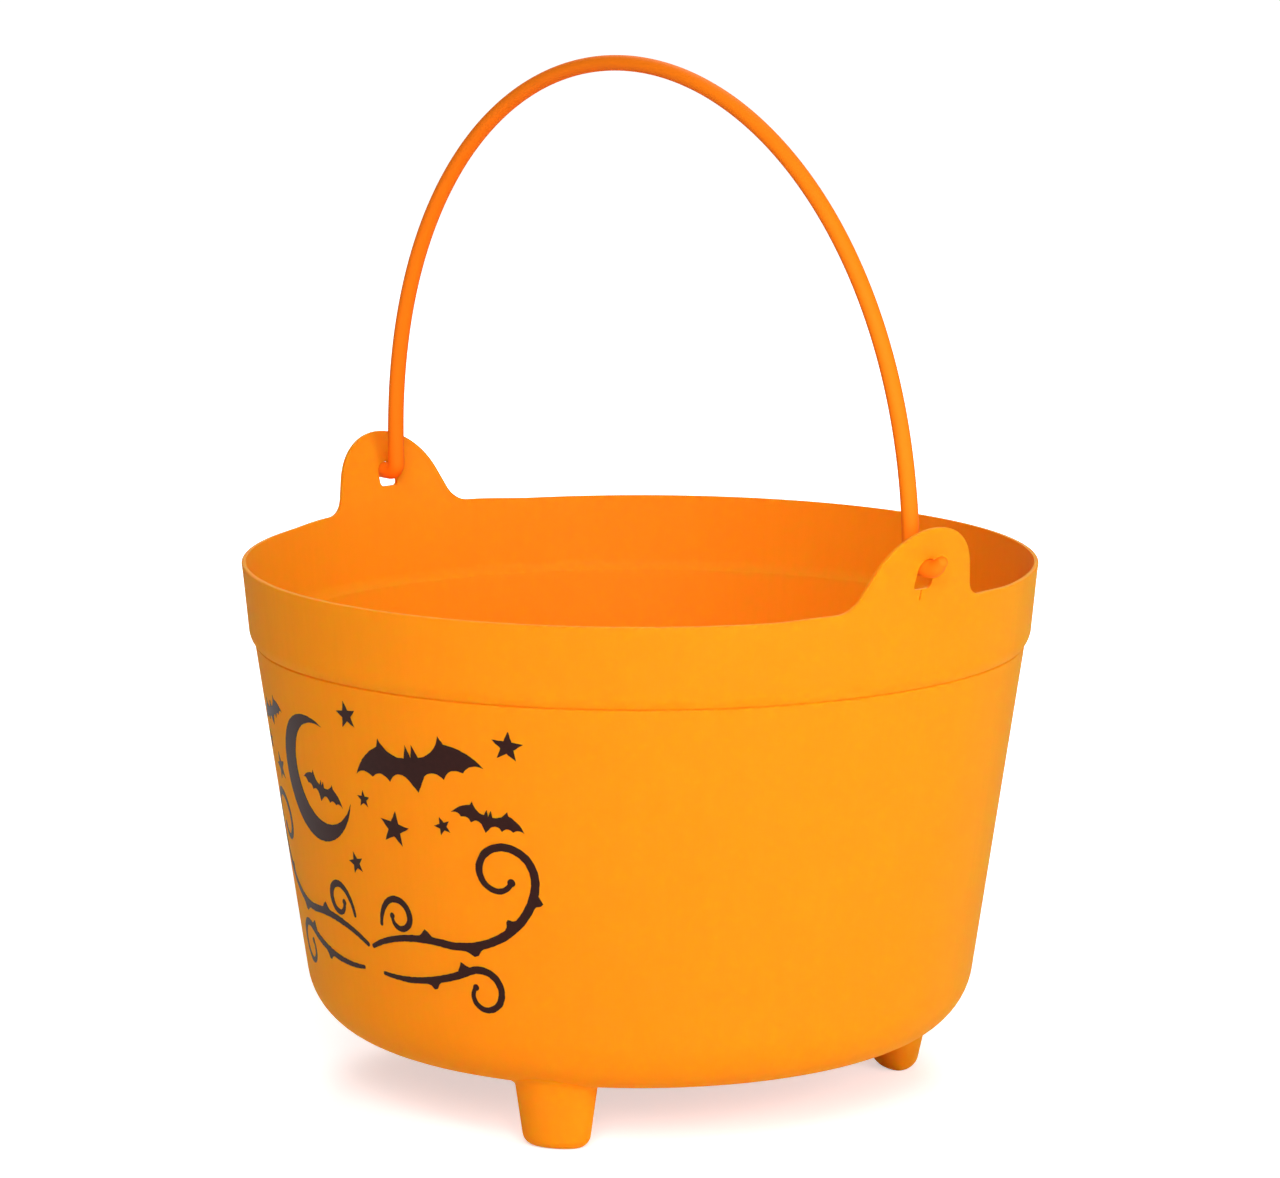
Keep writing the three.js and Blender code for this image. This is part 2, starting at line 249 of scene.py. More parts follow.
class BucketSizes(bpy.types.PropertyGroup):
    """Sizes of the moulded bucket"""

    wall: length("Wall", "Thickness of the wall", 1.3 * MM)
    rim_radius: length("Rim radius", "Outer radius of the rim", BUCKET_HIGH.y)
    rim_z: length("Rim height", "Height of the rim away from the ears", 155.6 * MM)
    collar_height: length("Collar height", "Height of the collar", 21.4 * MM)
    collar_draft: slope("Collar draft", "Outward lean of the collar", 5.3)
    step_depth: length("Step depth", "How far the wall steps in under the collar", 1.5 * MM)
    step_height: length("Step height", "Height of the sloping step", 1.9 * MM)
    step_round: length("Step rounding", "Rounding of the collar's lower edge", 7 * MM)
    belly_draft: slope("Belly draft", "Outward lean of the belly", 8.4)
    floor_z: length("Floor height", "Height of the floor's underside", 18.5 * MM)
    base_fillet: length("Base rounding", "Rounding between belly and floor", 20.2 * MM)
    gate_radius: length("Gate recess", "Radius of the recess round the gate", 8 * MM)
    gate_depth: length("Gate depth", "Depth of the recess round the gate", 0.6 * MM)
    crease: length("Crease", "Width of the crease under the collar", 0.7 * MM)
    crease_depth: length("Crease depth", "Depth of the crease under the collar", 0.85 * MM)
    ledge_round: length("Ledge rounding", "Rounding of the ledge inside", 1.4 * MM)
    edge_round: length("Edge rounding", "Rounding of the rim's two edges", 0.45 * MM)
    ear_radius: length("Ear radius", "Radius of the ears' round tops", 19.8 * MM)
    ear_flare: slope("Ear flare", "Spread of the ears' flanks", 22)
    ear_fillet: length("Ear fillet", "Rounding from an ear into the rim", 7 * MM)
    ear_lean: slope("Ear lean", "Outward lean of the ears", 18.9)
    ear_blend: length("Ear blend", "Softness of the bend into an ear", 2.2 * MM)
    rim_rise: length("Rim rise", "Climb of the rim beside an ear", 0.8 * MM)
    rim_rise_reach: length("Rim rise reach", "Where the climb starts, sideways from the ear", 48 * MM)
    ear_root: length("Ear root", "Height over the rim where an ear starts to lean", 1.3 * MM)
    hole_side: length("Hole side", "Gap beside the rod in its hole", 0.8 * MM)
    hole_top: length("Hole top", "Gap over the rod in its hole", 0.1 * MM, 0.0)
    hole_slack: length("Hole slack", "Gap below the rod in its hole", 2.2 * MM)
    near_sill: length("Near sill", "How much lower the +X ear's hole ends", 1.4 * MM)
    hole_corner: length("Hole corner", "Rounding of the hole's lower corners", 1.4 * MM)
    foot_circle: length("Foot circle", "Distance of the feet from the axis", 76.9 * MM)
    foot_spread: slope("Foot spread", "Turn of two feet away from the +X ear", 59)
    foot_width: length("Foot width", "Width of a foot's end, across the radius", 18.9 * MM)
    foot_depth: length("Foot depth", "Depth of a foot's end, along the radius", 11.8 * MM)
    foot_side_draft: slope("Foot side draft", "Taper of a foot across the radius", 7.5)
    foot_face_draft: slope("Foot face draft", "Taper of a foot along the radius", 13)
    foot_edge: length("Foot edge", "Rounding of a foot's lower edge", 3.5 * MM)
    foot_fillet: length("Foot fillet", "Rounding where a foot meets the belly", 1.2 * MM)
    columns: IntProperty(name="Columns", description="Faces round a quarter of the bucket",
                         default=96, min=16, max=200)


class BailSizes(bpy.types.PropertyGroup):
    """Sizes of the bail's rod"""

    rod: length("Rod", "Diameter of the rod", 5 * MM)
    flat: FloatProperty(name="Flatness", description="Share of its diameter that the flat rod keeps",
                        default=0.9, min=0.2, max=1.0)
    ear_gap: length("Ear gap", "Gap between a leg and its ear", 3.3 * MM)
    height: length("Height", "Height of the arch over the hinge line", 130.9 * MM)
    fullness: FloatProperty(name="Fullness", description="Below 1 the arch's shoulders are fuller",
                            default=0.93, min=0.5, max=1.5)
    lean: slope("Lean", "Lean of the bail at rest to the printed side", 1.8)
    bend: length("Bend", "Radius of the bend into an ear's hole", 3.2 * MM)
    reach: length("Reach", "How far an end runs past its ear", 1.5 * MM)
    turn_radius: length("Turn radius", "Radius of the turn at the end", 4 * MM)
    turn: slope("Turn angle", "How far the end turns up", 40)
    tip: length("Tip", "Straight length before the rounded tip", 2 * MM)
    tip_taper: FloatProperty(name="Tip taper", description="Share of its thickness that the tips keep",
                             default=0.7, min=0.2, max=1.0)


class PrintSizes(bpy.types.PropertyGroup):
    """Sizes of the printed decoration"""

    middle_z: length("Print height", "Height of the print's middle", 86.9 * MM)
    film: length("Ink film", "Height of the ink over the wall", 0.06 * MM, 0.00001)
    line: length("Line", "Width of the printed vines", 2.6 * MM)
    ragged: length("Raggedness", "Unevenness of the ink's edge", 0.14 * MM, 0.0)
    column: length("Ink column", "Widest face of the ink round the wall", 2.5 * MM)


class Finish(bpy.types.PropertyGroup):
    """Colours of the plastics and the ink"""

    bucket: colour("Bucket", "Colour of the bucket's polypropylene", "#FF9310")
    bail: colour("Bail", "Colour of the bail's polypropylene", "#FF7E10")
    ink: colour("Ink", "Colour of the printing ink", "#28120F")
    floor: colour("Floor", "Colour of the studio floor", "#F4F4F4")


def wall_line(angle, radius, z):
    """Section line that leans out by an angle: its outward normal and its distance."""
    normal = Vector((math.cos(angle), -math.sin(angle)))
    return normal, normal.x * radius + normal.y * z


def meet(first, second, inset=0.0):
    """Corner of two section lines, both moved into the wall by the inset."""
    (a, p), (b, q) = first, second
    p -= inset
    q -= inset
    area = a.x * b.y - a.y * b.x
    return Vector(((p * b.y - q * a.y) / area, (a.x * q - b.x * p) / area))


def arc(centre, radius, start, end, steps):
    """Points of an arc from one angle to another."""
    turns = [start + (end - start) * i / steps for i in range(steps + 1)]
    return [Vector((centre[0] + radius * math.cos(t), centre[1] + radius * math.sin(t))) for t in turns]


def between(start, end, steps):
    """Points that divide a straight line evenly, without its ends."""
    return [start.lerp(end, i / steps) for i in range(1, steps)]


def rounded(lines, radius, inset, steps):
    """Arc that rounds the outward corner of two section lines, from the first to the second."""
    centre = meet(*lines, radius)
    start, end = (math.atan2(line[0].y, line[0].x) for line in lines)
    return arc(centre, radius - inset, start, end, steps)


def hollowed(lines, radius, inset, steps):
    """Arc that rounds the inward corner of two section lines; its radius is that at the inset."""
    centre = meet(*lines, inset - radius)
    start, end = (math.atan2(line[0].y, line[0].x) + math.pi for line in lines)
    return arc(centre, radius, start, end, steps)


class Section:
    """The bucket's turned section, as lines and heights worked out from its sizes."""

    def __init__(self, sizes):
        self.sizes = sizes
        collar_foot = sizes.rim_radius - sizes.collar_height * math.tan(sizes.collar_draft)
        collar_foot_z = sizes.rim_z - sizes.collar_height
        belly_top = collar_foot - sizes.step_depth
        belly_top_z = collar_foot_z - sizes.step_height
        step_angle = math.atan2(sizes.step_depth, sizes.step_height)
        self.floor = wall_line(UP, 0, sizes.floor_z)
        self.belly = wall_line(sizes.belly_draft, belly_top, belly_top_z)
        self.step = wall_line(step_angle, belly_top, belly_top_z)
        self.collar = wall_line(sizes.collar_draft, sizes.rim_radius, sizes.rim_z)
        self.base = meet(self.floor, self.belly, sizes.base_fillet)
        self.stretch_z = collar_foot_z + STRETCH_START

    def collar_radius(self, z):
        """Outer radius of the straight collar at a height."""
        return meet(self.collar, wall_line(UP, 0, z)).x

    def radius(self, z):
        """Outer radius of the collar and the leaning ears at a height."""
        lean = math.tan(self.sizes.ear_lean) - math.tan(self.sizes.collar_draft)
        over = z - self.sizes.rim_z - self.sizes.ear_root
        return self.collar_radius(z) + lean * (math.hypot(over, self.sizes.ear_blend) + over) / 2

    def ear_radius(self, z, inset=0.0):
        """Radius of the leaning ears' straight faces at a height, moved into the wall by the inset."""
        sizes = self.sizes
        root_z = sizes.rim_z + sizes.ear_root
        ear = wall_line(sizes.ear_lean, self.collar_radius(root_z), root_z)
        return meet(ear, wall_line(UP, 0, z + inset), inset).x

    def belly_radius(self, z):
        """Outer radius of the belly at a height."""
        return meet(self.belly, wall_line(UP, 0, z)).x

    def underside(self, radius, inset=0.0):
        """Height of the bucket's underside at a radius, moved into the wall by the inset."""
        fillet = self.sizes.base_fillet - inset
        out = min(max(radius - self.base.x, 0.0), fillet)
        return self.base.y - math.sqrt(fillet ** 2 - out ** 2)

    def side(self, inset):
        """Points of one face of the wall, from the bucket's axis up to the rim's rounding."""
        sizes = self.sizes
        floor_z = sizes.floor_z + inset
        gate_z = floor_z + sizes.gate_depth
        base = arc(self.base, sizes.base_fillet - inset, -UP, -sizes.belly_draft, BASE_ROWS)
        ledge = self.ledge(inset)
        collar = rounded((self.step, self.collar), sizes.step_round, inset, STEP_ROWS)
        rim = meet(self.collar, wall_line(UP, 0, sizes.rim_z - sizes.edge_round + inset), inset)
        gate = [Vector((0, gate_z)), Vector((sizes.gate_radius, gate_z)),
                Vector((sizes.gate_radius + sizes.gate_depth, floor_z))]
        return [*gate, *between(gate[-1], base[0], FLOOR_ROWS), *base,
                *between(base[-1], ledge[0], BELLY_ROWS), *ledge,
                *collar, *between(collar[-1], rim, COLLAR_ROWS), rim]

    def ledge(self, inset):
        """Corner under the collar: a fine crease outside, a soft rounding inside."""
        if inset > 0:
            return hollowed((self.belly, self.step), self.sizes.ledge_round, inset, LEDGE_ROWS)
        corner = meet(self.belly, self.step)
        below = meet(self.belly, wall_line(UP, 0, corner.y - CREASE_BELOW * self.sizes.crease))
        above = meet(self.step, wall_line(UP, 0, corner.y + CREASE_ABOVE * self.sizes.crease))
        into = -(self.belly[0] + self.step[0]).normalized() * self.sizes.crease_depth
        return [below, below.lerp(corner + into, CREASE_ROW), corner + into, above]

    def outline(self):
        """Points from the axis, up the outside, over the rim and down the inside."""
        sizes = self.sizes
        outside = self.side(0.0)
        inside = self.side(sizes.wall)
        edge = sizes.edge_round
        outer = arc(outside[-1] - Vector((edge, 0)), edge, 0, UP, EDGE_ROWS)
        inner = arc(inside[-1] + Vector((edge, 0)), edge, UP, math.pi, EDGE_ROWS)
        return [*outside, *outer[1:], *inner[:-1], *reversed(inside)]


def rim_edge(section):
    """Places along a quarter of the rim's edge, from an ear's top: angle, height and edge normal."""
    sizes = section.sizes
    centre_z = BUCKET_HIGH.z - sizes.ear_radius
    beside_z = sizes.rim_z + sizes.rim_rise
    flank_y = sizes.ear_radius * math.cos(sizes.ear_flare)
    flank_z = centre_z + sizes.ear_radius * math.sin(sizes.ear_flare)
    corner_y = flank_y + (flank_z - beside_z) * math.tan(sizes.ear_flare)
    fillet = Vector((corner_y + sizes.ear_fillet * math.tan((UP - sizes.ear_flare) / 2),
                     beside_z + sizes.ear_fillet))
    places = []

    def add(y, z, normal):
        places.append((math.asin(y / section.radius(z)), z, Vector(normal)))

    for turn in range(EAR_STEPS + 1):
        angle = UP + (sizes.ear_flare - UP) * turn / EAR_STEPS
        normal = (math.cos(angle), math.sin(angle))
        add(sizes.ear_radius * normal[0], centre_z + sizes.ear_radius * normal[1], normal)
    for turn in range(FILLET_STEPS + 1):
        angle = math.pi + sizes.ear_flare + (UP - sizes.ear_flare) * turn / FILLET_STEPS
        normal = (-math.cos(angle), -math.sin(angle))
        add(fillet.x - sizes.ear_fillet * normal[0], fillet.y - sizes.ear_fillet * normal[1], normal)
    ear_places = len(places)
    start = places[-1][0]
    reach = math.asin(sizes.rim_rise_reach / section.radius(sizes.rim_z))
    for turn in range(1, RIM_STEPS + 1):
        angle = start + (UP - start) * turn / RIM_STEPS
        fall = min(1.0, (angle - start) / (reach - start))
        places.append((angle, beside_z - sizes.rim_rise * fall ** 2 * (3 - 2 * fall), Vector((0.0, 1.0))))
    return evenly(places[:ear_places], section, sizes.columns // 2)[:-1] + evenly(
        places[ear_places - 1:], section, sizes.columns - sizes.columns // 2)


def evenly(places, section, count):
    """The places resampled at even distances along the edge."""
    radius = section.sizes.rim_radius
    along = [0.0]
    for (a, z, _), (b, w, _) in zip(places, places[1:]):
        along.append(along[-1] + math.hypot((b - a) * radius, w - z))
    out = []
    k = 0
    for i in range(count + 1):
        want = along[-1] * i / count
        while k < len(along) - 2 and along[k + 1] < want:
            k += 1
        part = (want - along[k]) / (along[k + 1] - along[k])
        (a, z, m), (b, w, n) = places[k], places[k + 1]
        out.append((a + (b - a) * part, z + (w - z) * part, m.lerp(n, part).normalized()))
    return out


def all_columns(quarter):
    """Places all round the rim, by mirroring the quarter."""
    mirrored = [(math.pi - angle, z, Vector((-n.x, n.y))) for angle, z, n in reversed(quarter)]
    half = quarter[:-1] + mirrored[:-1]
    return half + [(math.pi + angle, z, n) for angle, z, n in half]


def shape_rim(bm, section, columns):
    """Moves each column of the turned wall to its place and stretches its collar up to the rim's edge."""
    sizes = section.sizes
    step = 2 * math.pi / len(columns)
    top = sizes.rim_z - sizes.edge_round
    for vert in bm.verts:
        radius = math.hypot(vert.co.x, vert.co.y)
        if radius < MM:
            continue
        angle, edge_z, normal = columns[round(math.atan2(vert.co.y, vert.co.x) / step) % len(columns)]
        z = vert.co.z
        if z > section.stretch_z:
            inset = section.collar_radius(z) - radius
            climb = 1.0
            depth = max(sizes.rim_z - z, 0.0)
            if z < top - SAME_HEIGHT:
                climb = (z - section.stretch_z) / (top - section.stretch_z)
                depth = sizes.edge_round
            angle -= climb * depth * normal.x / sizes.rim_radius
            edge = edge_z - depth * normal.y
            z = section.stretch_z + climb * (edge - section.stretch_z) if climb < 1 else edge
            radius = section.radius(z) - inset
        vert.co = (radius * math.cos(angle), radius * math.sin(angle), z)


def turned(points, steps):
    """Mesh of a section turned about +Z, welded at its seam and poles, with faces pointing out."""
    bm = bmesh.new()
    verts = [bm.verts.new((point[0], 0, point[1])) for point in points]
    edges = [bm.edges.new(pair) for pair in zip(verts, verts[1:])]
    bmesh.ops.spin(bm, geom=verts + edges, cent=(0, 0, 0), axis=(0, 0, 1), angle=2 * math.pi, steps=steps,
                   use_merge=True)
    bmesh.ops.remove_doubles(bm, verts=bm.verts, dist=WELD)
    bmesh.ops.recalc_face_normals(bm, faces=bm.faces)
    return bm


def points_of(grown):
    """Points that an extrusion made."""
    return [item for item in grown["geom"] if isinstance(item, bmesh.types.BMVert)]


def to_object(name, bm):
    """Object at the origin that holds the mesh."""
    mesh = bpy.data.meshes.new(name)
    bm.to_mesh(mesh)
    bm.free()
    piece = bpy.data.objects.new(name, mesh)
    bpy.context.scene.collection.objects.link(piece)
    return piece


def carve(piece, cutters):
    """Joins or cuts the piece with each cutter and drops the cutters."""
    for operation, cutter in cutters:
        modifier = piece.modifiers.new(operation.lower(), "BOOLEAN")
        modifier.operation = operation
        modifier.solver = "EXACT"
        modifier.object = cutter
    depsgraph = bpy.context.evaluated_depsgraph_get()
    result = bpy.data.meshes.new_from_object(piece.evaluated_get(depsgraph))
    piece.modifiers.clear()
    for _, cutter in cutters:
        bpy.data.objects.remove(cutter)
    bm = bmesh.new()
    bm.from_mesh(result)
    bmesh.ops.remove_doubles(bm, verts=bm.verts, dist=WELD)
    bmesh.ops.dissolve_degenerate(bm, edges=bm.edges, dist=WELD)
    bm.to_mesh(result)
    bm.free()
    piece.data = result
    result.name = piece.name


def smooth(piece, angle=CRISP):
    """Smooth shading, with edges sharper than the angle kept crisp."""
    piece.data.shade_smooth()
    piece.data.set_sharp_from_angle(angle=math.radians(angle))


def foot_half(sizes, z, inset):
    """Half depth and half width of a foot at a height, moved into the wall by the inset."""
    rise = max(0.0, sizes.foot_edge - z)
    edge = math.sqrt(max(0.0, (sizes.foot_edge - inset) ** 2 - rise ** 2)) - sizes.foot_edge
    return (sizes.foot_depth / 2 + z * math.tan(sizes.foot_face_draft) + edge,
            sizes.foot_width / 2 + z * math.tan(sizes.foot_side_draft) + edge)


def foot_stub(section, inset):
    """One foot under the +X side, an oval stub flared where it ends in the wall, or the well inside it."""
    sizes = section.sizes
    edge = arc((0, sizes.foot_edge), sizes.foot_edge - inset, -UP, 0, FOOT_EDGE_ROWS)
    rows = [point.y for point in edge] + [sizes.foot_edge + i / FOOT_ROWS for i in range(1, FOOT_ROWS + 1)]
    cap = [Vector((1 - i / FOOT_CAP_ROWS, sizes.foot_edge + 1)) for i in range(1, FOOT_CAP_ROWS + 1)]
    bm = turned([Vector((0, inset)), *(Vector((1, row)) for row in rows), *cap], FOOT_STEPS)
    end = sizes.wall * (FOOT_END if inset == 0 else WELL_END)
    for vert in bm.verts:
        share = max(0.0, vert.co.z - sizes.foot_edge)
        across = Vector((vert.co.x, vert.co.y))
        z = min(vert.co.z, sizes.foot_edge)
        for _ in range(FOOT_TRIES):
            depth, width = foot_half(sizes, z, inset)
            place = Vector((sizes.foot_circle + across.x * depth, across.y * width))
            top = section.underside(place.length, end)
            if share > 0:
                z = sizes.foot_edge + share * (top - sizes.foot_edge)
        rise = sizes.foot_fillet - max(section.underside(place.length, inset) - z, 0.0)
        if rise > 0:
            swell = sizes.foot_fillet - math.sqrt(sizes.foot_fillet ** 2 - rise ** 2)
            place.x += across.x * swell
            place.y += across.y * swell
        vert.co = (place.x, place.y, z)
    return bm


def feet(section, inset):
    """The three feet, or the wells inside them when the inset is the wall."""
    stub = foot_stub(section, inset)
    mesh = bpy.data.meshes.new("foot")
    stub.to_mesh(mesh)
    stub.free()
    whole = bmesh.new()
    for angle in (-section.sizes.foot_spread, section.sizes.foot_spread, math.pi):
        before = len(whole.verts)
        whole.from_mesh(mesh)
        whole.verts.ensure_lookup_table()
        bmesh.ops.rotate(whole, verts=whole.verts[before:], matrix=Matrix.Rotation(angle, 3, "Z"))
    bpy.data.meshes.remove(mesh)
    return whole


def hole_prisms(sizes, rod):
    """Short prisms along X, one through each ear, round over the rod and with a flat sill."""
    half = rod + sizes.hole_side
    corner = sizes.hole_corner
    crown_z = HINGE.z + rod + sizes.hole_top - half
    bm = bmesh.new()
    for side, lower in ((-1, 0.0), (1, sizes.near_sill)):
        sill_z = HINGE.z - rod - sizes.hole_slack - lower
        points = [*arc((0, crown_z), half, 0, math.pi, CROWN_STEPS),
                  *arc((corner - half, sill_z + corner), corner, -math.pi, -UP, CORNER_STEPS),
                  *arc((half - corner, sill_z + corner), corner, -UP, 0, CORNER_STEPS)]
        start = CUTTER_START * side * sizes.rim_radius
        face = bm.faces.new([bm.verts.new((start, y, z)) for y, z in points])
        grown = bmesh.ops.extrude_face_region(bm, geom=[face])
        bmesh.ops.translate(bm, verts=points_of(grown), vec=(start / CUTTER_PART, 0, 0))
    bmesh.ops.recalc_face_normals(bm, faces=bm.faces)
    return bm


def weld_line(section, rod):
    """Thin cutter for the flow line in the outer face of the +X ear."""
    sizes = section.sizes
    top_z = HINGE.z - rod - sizes.hole_slack - sizes.near_sill
    bm = bmesh.new()
    bmesh.ops.create_cube(bm, size=1)
    bmesh.ops.scale(bm, verts=bm.verts, vec=(WELD_LINE_DEPTH, WELD_LINE_WIDTH, WELD_LINE_LENGTH))
    bmesh.ops.rotate(bm, verts=bm.verts, matrix=Matrix.Rotation(sizes.ear_lean, 3, "Y"))
    middle_z = top_z - WELD_LINE_LENGTH / 2
    bmesh.ops.translate(bm, verts=bm.verts, vec=(section.radius(middle_z), 0, middle_z))
    return bm


class CAULDRON_OT_bucket(bpy.types.Operator):
    """Model the moulded bucket with its collar, ears and hollow feet"""

    bl_idname = "cauldron.bucket"
    bl_label = "Bucket"
    bl_options = {"REGISTER", "UNDO"}

    def execute(self, context):
        sizes = context.scene.cauldron_bucket
        section = Section(sizes)
        columns = all_columns(rim_edge(section))
        bm = turned(section.outline(), len(columns))
        shape_rim(bm, section, columns)
        bmesh.ops.remove_doubles(bm, verts=bm.verts, dist=RIM_WELD)
        piece = to_object("bucket_moulding", bm)
        wells = to_object("wells", feet(section, sizes.wall))
        legs = to_object("legs", feet(section, 0.0))
        rod = context.scene.cauldron_bail.rod / 2
        holes = to_object("holes", hole_prisms(sizes, rod))
        line = to_object("line", weld_line(section, rod))
        carve(piece, [("UNION", legs), ("DIFFERENCE", wells), ("DIFFERENCE", holes), ("DIFFERENCE", line)])
        smooth(piece)
        piece.data.materials.clear()
        finish = context.scene.cauldron_finish
        plastic = moulded_polypropylene(finish.bucket, BUCKET_SEEP, STREAK_HEIGHT, BUCKET_SHEEN)
        piece.data.materials.append(plastic)
        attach(piece, "bucket")
        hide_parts("cauldron_bucket")
        return {"FINISHED"}


def bail_path(sizes, bucket):
    """Middle line of the rod in the XZ plane about the hinge, from tip to tip."""
    section = Section(bucket)
    half_span = section.ear_radius(HINGE.z, bucket.wall) - sizes.ear_gap - sizes.rod / 2
    turn_x = section.ear_radius(HINGE.z) + sizes.reach
    turn_end = Vector((turn_x + sizes.turn_radius * math.sin(sizes.turn),
                       sizes.turn_radius * (1 - math.cos(sizes.turn))))
    up = Vector((math.cos(sizes.turn), math.sin(sizes.turn)))
    tip = turn_end + up * sizes.tip
    bend_x = half_span + sizes.bend
    hook = [tip, *between(tip, turn_end, TIP_STEPS),
            *arc((turn_x, sizes.turn_radius), sizes.turn_radius, sizes.turn - UP, -UP, TURN_STEPS),
            *between(Vector((turn_x, 0)), Vector((bend_x, 0)), REACH_STEPS),
            *arc((bend_x, sizes.bend), sizes.bend, 3 * UP, math.pi, BEND_STEPS)]
    rise = sizes.height - sizes.bend
    turns = [UP * i / ARCH_STEPS for i in range(1, ARCH_STEPS + 1)]
    right = hook + [Vector((half_span * math.cos(turn), sizes.bend + rise * math.sin(turn) ** sizes.fullness))
                    for turn in turns]
    return right + [Vector((-point.x, point.y)) for point in reversed(right[:-1])]


def rod_mesh(points, radius, flat, taper):
    """Rod swept along the points, a little flat in their plane, drawn in towards its domed tips."""
    tangents = [(after - before).normalized() for before, after in
                zip([points[0], *points], [*points[1:], points[-1]])]
    tips = (points[0], points[-1])
    rings = []
    for point, tangent in zip(points, tangents):
        near = min((point - tip).length for tip in tips)
        full = min(1.0, near / (TIP_TAPER_REACH * radius))
        size = radius * (taper + (1 - taper) * full * (2 - full))
        above = min(1.0, max(0.0, point.y / (FLAT_REACH * radius)))
        rings.append((point, tangent, size, 1 - (1 - flat) * above))
    start, end = rings[0], rings[-1]
    for i in range(1, DOME_ROWS + 1):
        angle = UP * i / DOME_ROWS
        out, size = start[2] * math.sin(angle), start[2] * max(math.cos(angle), DOME_END)
        rings.insert(0, (start[0] - start[1] * out, start[1], size, start[3]))
        rings.append((end[0] + end[1] * out, end[1], size, end[3]))

    def place(ring):
        point, tangent, size, thin = ring
        along = Vector((tangent.x, 0, tangent.y))
        side = Vector((0, 1, 0))
        turn = Matrix((side.cross(along), side, along)).transposed().to_4x4()
        move = Matrix.Translation((point.x, 0, point.y))
        return move @ turn @ Matrix.Diagonal((size * thin, size, size, 1))

    bm = bmesh.new()
    verts = bmesh.ops.create_circle(bm, cap_ends=True, segments=ROD_SIDES, radius=1)["verts"]
    bmesh.ops.transform(bm, matrix=place(rings[0]), verts=verts)
    edges = list(dict.fromkeys(edge for vert in verts for edge in vert.link_edges))
    for before, ring in zip(rings, rings[1:]):
        grown = bmesh.ops.extrude_edge_only(bm, edges=edges)
        verts = points_of(grown)
        new = set(verts)
        edges = [item for item in grown["geom"]
                 if isinstance(item, bmesh.types.BMEdge) and new.issuperset(item.verts)]
        bmesh.ops.transform(bm, matrix=place(ring) @ place(before).inverted(), verts=verts)
    bmesh.ops.contextual_create(bm, geom=edges)
    bmesh.ops.recalc_face_normals(bm, faces=bm.faces)
    return bm


class CAULDRON_OT_bail(bpy.types.Operator):
    """Model the bail: one bent rod whose hooked ends hang in the ears"""

    bl_idname = "cauldron.bail"
    bl_label = "Bail"
    bl_options = {"REGISTER", "UNDO"}

    def execute(self, context):
        sizes = context.scene.cauldron_bail
        path = bail_path(sizes, context.scene.cauldron_bucket)
        bm = rod_mesh(path, sizes.rod / 2, sizes.flat, sizes.tip_taper)
        bmesh.ops.rotate(bm, verts=bm.verts, matrix=Matrix.Rotation(sizes.lean, 3, "X"))
        bmesh.ops.translate(bm, verts=bm.verts, vec=HINGE)
        piece = to_object("bail_rod", bm)
        smooth(piece, ROD_CRISP)
        finish = context.scene.cauldron_finish
        plastic = moulded_polypropylene(finish.bail, BAIL_SEEP, BAIL_STREAK_HEIGHT, BAIL_SHEEN)
        piece.data.materials.append(plastic)
        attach(piece, "bail")
        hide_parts("bail_handle")
        return {"FINISHED"}


def bow(start, end, bulge, steps=12):
    """Points of a curve that bulges to the left by a share of its length, without its last one."""
    start, end = Vector(start), Vector(end)
    middle = (start + end) / 2 + Vector((start.y - end.y, end.x - start.x)) * 2 * bulge
    shares = [i / steps for i in range(steps)]
    return [start.lerp(middle, t).lerp(middle.lerp(end, t), t) for t in shares]


def placed(outline, middle, turn, size):
    """Outline turned, sized and moved to its middle."""
    turned_by = Matrix.Rotation(math.radians(turn), 2)
    return [turned_by @ point * size + Vector(middle) for point in outline]


def bat(middle, turn, half_span):
    """Bat in flight, with scalloped wings."""
    edges = zip(BAT_HALF, BAT_HALF[1:])
    half = [point for (start, bulge), (end, _) in edges for point in bow(start, end, bulge)]
    half.append(Vector(BAT_HALF[-1][0]))
    mirrored = [Vector((-point.x, point.y)) for point in reversed(half[1:-1])]
    return placed(half + mirrored, middle, turn, half_span)


def star(middle, turn, radius, points=5, waist=0.42):
    """Star with straight-sided points."""
    corners = [(1.0 if i % 2 == 0 else waist, UP + math.pi * i / points) for i in range(2 * points)]
    return placed([Vector((r * math.cos(a), r * math.sin(a))) for r, a in corners], middle, turn, radius)


def crescent(middle, turn, radius, horns=38, inner=0.8):
    """Crescent moon with its horns towards +X; the inner radius is a share of the outer one."""
    horn = math.radians(horns)
    lean = math.asin(math.sin(horn) / inner)
    outer = arc((0, 0), 1, horn, 2 * math.pi - horn, MOON_STEPS)
    hollow_x = math.cos(horn) - inner * math.cos(lean)
    hollow = arc((hollow_x, 0), inner, 2 * math.pi - lean, lean, HOLLOW_STEPS)
    return placed(outer + hollow[1:-1], middle, turn, radius)


def scroll_path(start, heading, runs):
    """Places and headings along a line that starts at a heading and turns through its runs.

    A run is its turn in degrees to the left, and the radius of its bend at its start and at its end.
    """
    angle = math.radians(heading)
    path = [(Vector(start), angle)]
    for turn, first, last in runs:
        turn = math.radians(turn)
        steps = max(RUN_STEPS, round(abs(turn) * (first + last) / 2))
        for i in range(steps):
            radius = first + (last - first) * (i + 0.5) / steps
            angle += turn / steps / 2
            stride = Vector((math.cos(angle), math.sin(angle))) * radius * abs(turn) / steps
            angle += turn / steps / 2
            path.append((path[-1][0] + stride, angle))
    return path


